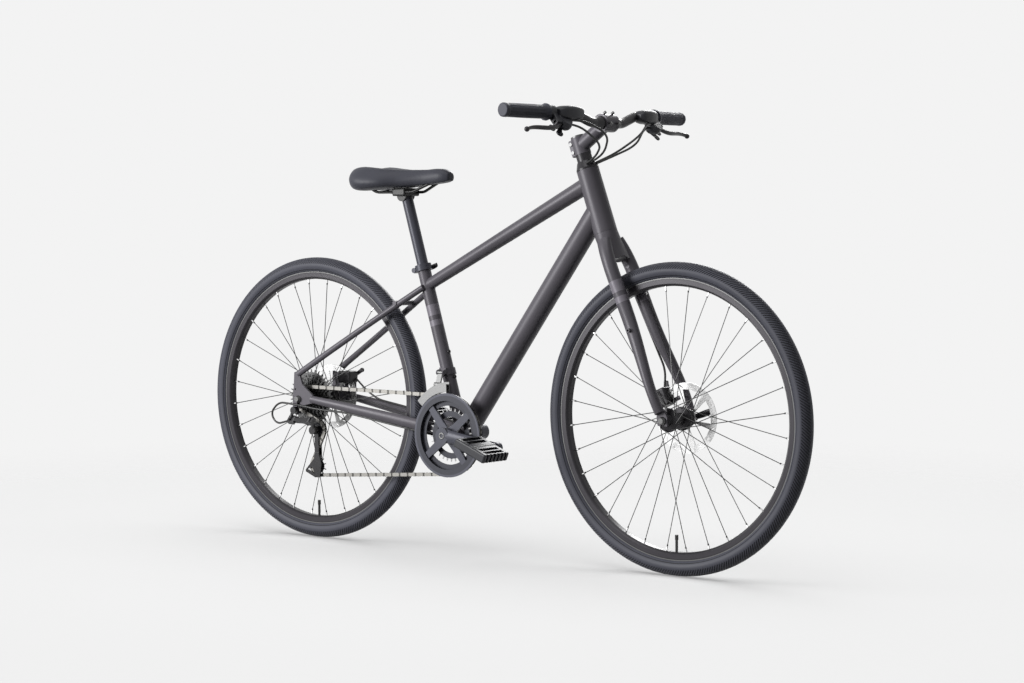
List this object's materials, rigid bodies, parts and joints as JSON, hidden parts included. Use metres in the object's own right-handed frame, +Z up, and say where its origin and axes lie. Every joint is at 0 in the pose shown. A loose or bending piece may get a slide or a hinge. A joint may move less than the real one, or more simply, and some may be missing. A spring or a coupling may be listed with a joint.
{
  "type": "hybrid bicycle",
  "caption": "Flat-bar hybrid bike with disc brakes, chain drive with derailleurs, steering fork, spinning wheels and an adjustable saddle.",
  "frame": {"origin": "on the ground midway between the two wheel axles", "axes": "+X forward, +Y to the rider's left, +Z up"},
  "size_m": [1.7898, 0.6818, 1.0521],
  "materials": {
    "frame_paint": "satin",
    "tyre_rubber": "matte",
    "rim_black": "satin black anodised",
    "bright_steel": "bright",
    "chain_steel": "oiled",
    "black_alloy": "black anodised",
    "stem_grey": "satin",
    "bolt_steel": "zinc plated",
    "bearing_steel": "ground",
    "crank_grey": "dark grey",
    "ring_black": "satin",
    "grip_rubber": "ribbed",
    "control_plastic": "moulded",
    "cable_black": "smooth",
    "saddle_cover": "synthetic cover",
    "rail_steel": "black",
    "derailleur_silver": "bright"
  },
  "bodies": {
    "frame": {"main_frame": "frame_paint", "rear_stays": "frame_paint", "headset_bearings": "bearing_steel", "bottom_bracket_cups": "black_alloy", "bottle_bolts": "bright_steel", "front_derailleur_mount": "derailleur_silver", "rear_caliper": "black_alloy", "frame_cables": "cable_black", "seat_collar": "black_alloy", "rear_axle": "bright_steel", "rear_derailleur_knuckle": "black_alloy", "chain": "chain_steel"},
    "front_end": {"fork": "frame_paint", "headset_cover": "black_alloy", "stem": "stem_grey", "stem_bolts": "bolt_steel", "handlebar": "black_alloy", "grips": "grip_rubber", "control_units": "control_plastic", "front_caliper": "black_alloy", "control_cables": "cable_black", "front_axle": "bright_steel"},
    "front_wheel": {"front_tyre": "tyre_rubber", "front_rim": "rim_black", "front_spokes": "bright_steel", "front_hub": "black_alloy", "front_rotor": "bright_steel"},
    "rear_wheel": {"rear_tyre": "tyre_rubber", "rear_rim": "rim_black", "rear_spokes": "bright_steel", "rear_hub": "black_alloy", "rear_rotor": "bright_steel"},
    "crankset": {"right_crank": "crank_grey", "left_crank": "crank_grey", "spindles": "bearing_steel", "chainrings": "ring_black"},
    "cassette_cogs": {"cassette": "bright_steel"},
    "right_pedal_cage": {"right_pedal": "control_plastic"},
    "left_pedal_cage": {"left_pedal": "control_plastic"},
    "rear_link": {"rear_derailleur_link": "black_alloy"},
    "rear_swing": {"rear_derailleur_swing": "black_alloy"},
    "rear_cage": {"rear_derailleur_cage": "black_alloy"},
    "guide_wheel": {"guide_pulley": "control_plastic"},
    "tension_wheel": {"tension_pulley": "control_plastic"},
    "front_link": {"front_derailleur_link": "derailleur_silver"},
    "front_cage": {"front_derailleur_cage": "derailleur_silver"},
    "seat": {"seatpost": "black_alloy", "saddle_rails": "rail_steel", "saddle": "saddle_cover"},
    "seat_lever": {"seat_clamp_lever": "black_alloy"},
    "right_brake": {"right_brake_lever": "black_alloy"},
    "left_brake": {"left_brake_lever": "black_alloy"},
    "right_shift": {"right_shift_lever": "control_plastic"},
    "left_shift": {"left_shift_lever": "control_plastic"},
    "right_release": {"right_release_lever": "control_plastic"},
    "left_release": {"left_release_lever": "control_plastic"},
    "front_brake_arm": {"front_caliper_arm": "black_alloy"},
    "rear_brake_arm": {"rear_caliper_arm": "black_alloy"},
    "front_quick": {"front_quick_lever": "black_alloy"},
    "rear_quick": {"rear_quick_lever": "black_alloy"}
  },
  "joints": [
    {"name": "steering", "type": "hinge", "parent": "frame", "child": "front_end", "pos_m": [0.3477, 0, 0.76515], "axis": [-0.3355, 0, 0.9421], "range_deg": [-70, 70]},
    {"name": "front_wheel_spin", "type": "hinge", "parent": "front_end", "child": "front_wheel", "pos_m": [0.544, 0, 0.351], "axis": [0, 1, 0], "continuous": true},
    {"name": "rear_wheel_spin", "type": "hinge", "parent": "frame", "child": "rear_wheel", "pos_m": [-0.544, 0, 0.351], "axis": [0, 1, 0], "continuous": true},
    {"name": "crank_spin", "type": "hinge", "parent": "frame", "child": "crankset", "pos_m": [-0.076, 0, 0.285], "axis": [0, 1, 0], "continuous": true, "deforming": ["chain"]},
    {"name": "cassette_spin", "type": "hinge", "parent": "frame", "child": "cassette_cogs", "pos_m": [-0.544, 0, 0.351], "axis": [0, 1, 0], "continuous": true},
    {"name": "right_pedal_spin", "type": "hinge", "parent": "crankset", "child": "right_pedal_cage", "pos_m": [0.09307, -0.08, 0.26723], "axis": [0, 1, 0], "continuous": true},
    {"name": "left_pedal_spin", "type": "hinge", "parent": "crankset", "child": "left_pedal_cage", "pos_m": [-0.24507, 0.08, 0.30277], "axis": [0, 1, 0], "continuous": true},
    {"name": "rear_link_swing", "type": "hinge", "parent": "frame", "child": "rear_link", "pos_m": [-0.552, -0.082, 0.299], "axis": [0, 0.6428, 0.766], "range_deg": [-14, 30], "deforming": ["chain"]},
    {"name": "rear_swing_turn", "type": "hinge", "parent": "rear_link", "child": "rear_swing", "pos_m": [-0.502, -0.082, 0.299], "axis": [0, 0.6428, 0.766], "range_deg": [-30, 14]},
    {"name": "rear_cage_turn", "type": "hinge", "parent": "rear_swing", "child": "rear_cage", "pos_m": [-0.5, -0.05, 0.275], "axis": [0, 1, 0], "range_deg": [-30, 40], "stiffness_Nm_per_rad": 4, "deforming": ["chain"]},
    {"name": "guide_pulley_spin", "type": "hinge", "parent": "rear_cage", "child": "guide_wheel", "pos_m": [-0.5, -0.05, 0.275], "axis": [0, 1, 0], "continuous": true},
    {"name": "tension_pulley_spin", "type": "hinge", "parent": "rear_cage", "child": "tension_wheel", "pos_m": [-0.49859, -0.05, 0.18501], "axis": [0, 1, 0], "continuous": true},
    {"name": "front_link_swing", "type": "hinge", "parent": "frame", "child": "front_link", "pos_m": [-0.12, -0.028, 0.431], "axis": [1, 0, 0], "range_deg": [0, 13], "deforming": ["chain"]},
    {"name": "front_cage_turn", "type": "hinge", "parent": "front_link", "child": "front_cage", "pos_m": [-0.12, -0.038, 0.403], "axis": [1, 0, 0], "range_deg": [-13, 0]},
    {"name": "seat_height", "type": "slide", "parent": "frame", "child": "seat", "axis": [-0.2924, 0, 0.9563], "range_m": [-0.1, 0.03]},
    {"name": "seat_lever_turn", "type": "hinge", "parent": "frame", "child": "seat_lever", "pos_m": [-0.21764, 0.0155, 0.67304], "axis": [-0.2924, 0, 0.9563], "range_deg": [0, 150]},
    {"name": "right_brake_squeeze", "type": "hinge", "parent": "front_end", "child": "right_brake", "pos_m": [0.35928, -0.19293, 1.00687], "axis": [-0.7405, 0.084, -0.6668], "range_deg": [0, 12], "stiffness_Nm_per_rad": 2},
    {"name": "right_shift_push", "type": "hinge", "parent": "front_end", "child": "right_shift", "pos_m": [0.35727, -0.1705, 1.01192], "axis": [-0.7405, 0.084, -0.6668], "range_deg": [0, 18], "stiffness_Nm_per_rad": 1},
    {"name": "right_release_push", "type": "hinge", "parent": "front_end", "child": "right_release", "pos_m": [0.35727, -0.1705, 1.01192], "axis": [-0.7405, 0.084, -0.6668], "range_deg": [-12, 0], "stiffness_Nm_per_rad": 1},
    {"name": "left_brake_squeeze", "type": "hinge", "parent": "front_end", "child": "left_brake", "pos_m": [0.35928, 0.19293, 1.00687], "axis": [0.7405, 0.084, 0.6668], "range_deg": [0, 12], "stiffness_Nm_per_rad": 2},
    {"name": "left_shift_push", "type": "hinge", "parent": "front_end", "child": "left_shift", "pos_m": [0.35727, 0.1705, 1.01192], "axis": [0.7405, 0.084, 0.6668], "range_deg": [0, 18], "stiffness_Nm_per_rad": 1},
    {"name": "left_release_push", "type": "hinge", "parent": "front_end", "child": "left_release", "pos_m": [0.35727, 0.1705, 1.01192], "axis": [0.7405, 0.084, 0.6668], "range_deg": [-12, 0], "stiffness_Nm_per_rad": 1},
    {"name": "front_caliper_pull", "type": "hinge", "parent": "front_end", "child": "front_brake_arm", "pos_m": [0.484, 0.0395, 0.395], "axis": [0, 1, 0], "range_deg": [-18, 0]},
    {"name": "rear_caliper_pull", "type": "hinge", "parent": "frame", "child": "rear_brake_arm", "pos_m": [-0.493, 0.052, 0.402], "axis": [0, 1, 0], "range_deg": [-18, 0]},
    {"name": "front_quick_turn", "type": "hinge", "parent": "front_end", "child": "front_quick", "pos_m": [0.544, 0.0704, 0.351], "axis": [-0.342, 0, 0.9397], "range_deg": [0, 165]},
    {"name": "rear_quick_turn", "type": "hinge", "parent": "frame", "child": "rear_quick", "pos_m": [-0.544, 0.0879, 0.351], "axis": [-0.9848, 0, 0.1736], "range_deg": [0, 165]}
  ],
  "couplings": [
    {"joint": "cassette_spin", "follows": "crank_spin", "ratio": 3.0667},
    {"joint": "guide_pulley_spin", "follows": "crank_spin", "ratio": -4.1818},
    {"joint": "tension_pulley_spin", "follows": "crank_spin", "ratio": 4.1818},
    {"joint": "rear_swing_turn", "follows": "rear_link_swing", "ratio": -1},
    {"joint": "front_cage_turn", "follows": "front_link_swing", "ratio": -1},
    {"joint": "front_caliper_pull", "follows": "left_brake_squeeze", "ratio": -1.5},
    {"joint": "rear_caliper_pull", "follows": "right_brake_squeeze", "ratio": -1.5}
  ]
}
